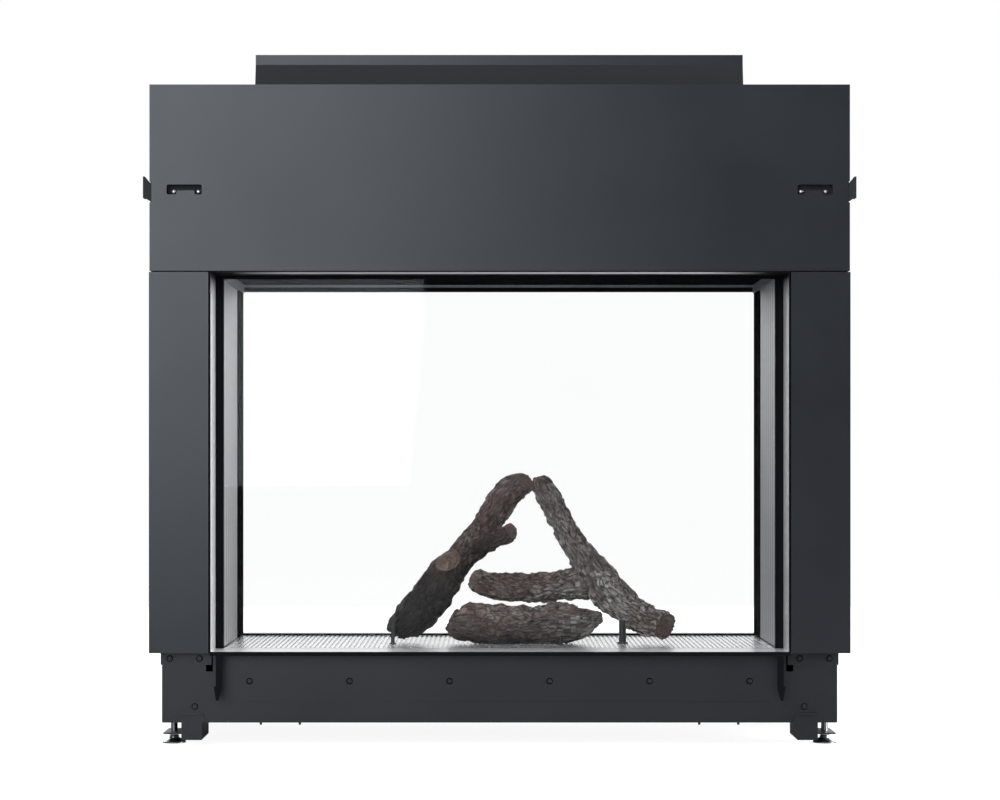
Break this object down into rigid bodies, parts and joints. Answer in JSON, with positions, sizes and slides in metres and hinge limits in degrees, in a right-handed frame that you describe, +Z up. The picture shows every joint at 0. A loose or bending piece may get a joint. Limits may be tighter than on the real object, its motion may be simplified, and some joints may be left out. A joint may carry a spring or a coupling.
{
  "type": "double-sided gas fireplace",
  "caption": "See-through gas fireplace insert: graphite steel casing, glass on both faces, ribbed hearth, ceramic logs, top hood, service base and levelling feet.",
  "frame": {"origin": "on the floor, under the middle of the casing", "axes": "X is the width, -Y is the front face, +Y the rear face, +Z is up"},
  "size_m": [1.25, 0.5, 1.2415],
  "materials": {
    "panel": "satin slate-grey powder coat",
    "casing": "satin slate-grey powder coat",
    "dark_sheet": "matte charcoal heat-proof paint",
    "base": "matte charcoal powder coat",
    "trim": "satin graphite heat-proof paint",
    "black_liner": "matte black heat-proof paint",
    "liner": "satin graphite heat-proof paint",
    "deck": "satin graphite heat-proof paint over pressed ribs",
    "zinc_sheet": "plain aluminised sheet steel",
    "foot_steel": "dull zinc-plated steel",
    "bright_steel": "bright zinc-plated steel",
    "screws": "black-oxide steel",
    "valve_alloy": "die-cast alloy",
    "knob_plastic": "moulded black plastic",
    "gasket": "woven glass-fibre tape",
    "glass": "clear ceramic glass",
    "log": "cast ceramic-fibre log painted as dark bark"
  },
  "bodies": {
    "casing": {"upper_panel_front": "panel", "upper_panel_rear": "panel", "side_panel_front_left": "panel", "side_panel_front_right": "panel", "side_panel_rear_left": "panel", "side_panel_rear_right": "panel", "side_casing_left": "casing", "side_casing_right": "casing", "top_plate": "casing", "hood_skirt": "dark_sheet", "hood_rim": "panel", "hook_brackets": "dark_sheet", "hanger_rails": "dark_sheet", "firebox_shell": "zinc_sheet", "ceiling_baffle": "black_liner", "side_liner_left": "liner", "side_liner_right": "liner", "liner_end_strips": "black_liner", "liner_clips": "liner", "floor_deck": "deck", "sill_front": "trim", "sill_rear": "trim", "trim_frame_front": "trim", "trim_frame_rear": "trim", "glass_frame_front": "black_liner", "glass_frame_rear": "black_liner", "gasket_front": "gasket", "gasket_rear": "gasket", "base_tray": "base", "base_front": "base", "base_rear": "base", "fascia_front": "base", "fascia_rear": "base", "corner_plates": "base", "leg_brackets": "base", "foot_nuts": "bright_steel", "burner_tray": "zinc_sheet", "gas_valve": "valve_alloy", "inlet_pipe": "bright_steel", "supply_pipe": "bright_steel", "pilot": "bright_steel", "receiver": "knob_plastic", "flue_inner": "zinc_sheet", "flue_outer": "zinc_sheet", "log_left": "log", "log_right": "log", "log_bottom": "log", "log_supports": "dark_sheet", "fascia_screws": "screws", "frame_screws": "screws", "tray_screws": "screws"},
    "glass_front": {"glass_front": "glass"},
    "glass_rear": {"glass_rear": "glass"},
    "relief_flap_left": {"relief_flap_left": "zinc_sheet"},
    "relief_flap_right": {"relief_flap_right": "zinc_sheet"},
    "valve_knob": {"valve_knob": "knob_plastic"},
    "level_foot_front_left": {"level_foot_front_left": "foot_steel"},
    "level_foot_front_right": {"level_foot_front_right": "foot_steel"},
    "level_foot_rear_left": {"level_foot_rear_left": "foot_steel"},
    "level_foot_rear_right": {"level_foot_rear_right": "foot_steel"}
  },
  "joints": [
    {"name": "level_foot_front_left_screw_out", "type": "slide", "parent": "casing", "child": "level_foot_front_left", "axis": [0, 0, -1], "range_m": [0, 0.018]},
    {"name": "level_foot_front_right_screw_out", "type": "slide", "parent": "casing", "child": "level_foot_front_right", "axis": [0, 0, -1], "range_m": [0, 0.018]},
    {"name": "level_foot_rear_left_screw_out", "type": "slide", "parent": "casing", "child": "level_foot_rear_left", "axis": [0, 0, -1], "range_m": [0, 0.018]},
    {"name": "level_foot_rear_right_screw_out", "type": "slide", "parent": "casing", "child": "level_foot_rear_right", "axis": [0, 0, -1], "range_m": [0, 0.018]},
    {"name": "glass_front_lift", "type": "slide", "parent": "casing", "child": "glass_front", "axis": [0, 0, 1], "range_m": [0, 0.012]},
    {"name": "glass_rear_lift", "type": "slide", "parent": "casing", "child": "glass_rear", "axis": [0, 0, 1], "range_m": [0, 0.012]},
    {"name": "relief_flap_left_hinge", "type": "hinge", "parent": "casing", "child": "relief_flap_left", "pos_m": [-0.3, 0.058, 0.8565], "axis": [-1, 0, 0], "range_deg": [0, 60]},
    {"name": "relief_flap_right_hinge", "type": "hinge", "parent": "casing", "child": "relief_flap_right", "pos_m": [0.3, 0.058, 0.8565], "axis": [-1, 0, 0], "range_deg": [0, 60]},
    {"name": "valve_knob_turn", "type": "hinge", "parent": "casing", "child": "valve_knob", "pos_m": [0.205, -0.088, 0.08], "axis": [0, -1, 0], "range_deg": [0, 90]}
  ]
}
